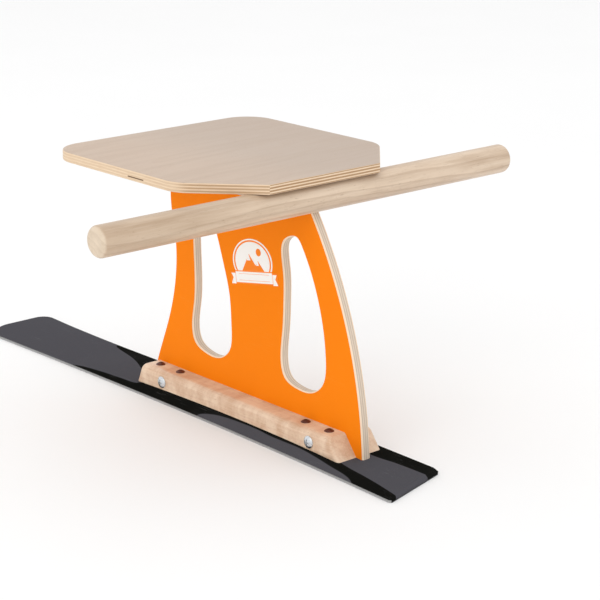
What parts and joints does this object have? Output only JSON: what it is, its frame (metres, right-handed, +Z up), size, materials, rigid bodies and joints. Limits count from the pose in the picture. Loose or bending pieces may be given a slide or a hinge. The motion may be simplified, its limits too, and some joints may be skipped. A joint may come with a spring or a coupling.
{
  "type": "one-ski sit sled",
  "caption": "Low plywood seat on a pierced upright panel that stands on one short ski, with a round handlebar under the seat's rear.",
  "frame": {"origin": "on the ground, at the middle of the ski's length and of the handlebar's width", "axes": "+X to the ski's tip, +Y to the sled's left, +Z up"},
  "size_m": [0.808, 0.616, 0.332],
  "materials": {
    "wood_panel": "birch plywood, satin lacquer",
    "laminate": "orange laminate, satin gloss",
    "seat_ply": "birch plywood, clear satin lacquer",
    "block_wood": "beech, clear satin lacquer",
    "bar_wood": "beech dowel, clear satin lacquer",
    "ski_cap": "printed nylon cap, black and grey",
    "ski_core": "poplar strips",
    "ski_base": "sintered polyethylene",
    "ski_sidewall": "light grey ABS",
    "ski_steel": "ground steel",
    "vinyl": "printed vinyl",
    "zinc_steel": "bright zinc plate",
    "dark_screw": "brown phosphate"
  },
  "bodies": {
    "root": {"upright_panel": "wood_panel", "panel_facing_left": "laminate", "panel_facing_right": "laminate", "seat_board": "seat_ply", "foot_block_left": "block_wood", "foot_block_right": "block_wood", "seat_batten_left": "block_wood", "seat_batten_right": "block_wood", "handlebar": "bar_wood", "ski_cap": "ski_cap", "ski_core": "ski_core", "ski_base": "ski_base", "ski_sidewall_left": "ski_sidewall", "ski_sidewall_right": "ski_sidewall", "ski_edge_left": "ski_steel", "ski_edge_right": "ski_steel", "badge_left": "vinyl", "badge_right": "vinyl", "foot_bolt_front": "zinc_steel", "foot_bolt_rear": "zinc_steel", "foot_nut_front": "zinc_steel", "foot_nut_rear": "zinc_steel", "batten_bolt_front": "zinc_steel", "batten_bolt_rear": "zinc_steel", "batten_nut_front": "zinc_steel", "batten_nut_rear": "zinc_steel", "ski_screws_front_left": "dark_screw", "ski_screws_front_right": "dark_screw", "ski_screws_rear_left": "dark_screw", "ski_screws_rear_right": "dark_screw", "seat_screws_left": "dark_screw", "seat_screws_right": "dark_screw", "handlebar_screws": "dark_screw"}
  },
  "joints": []
}
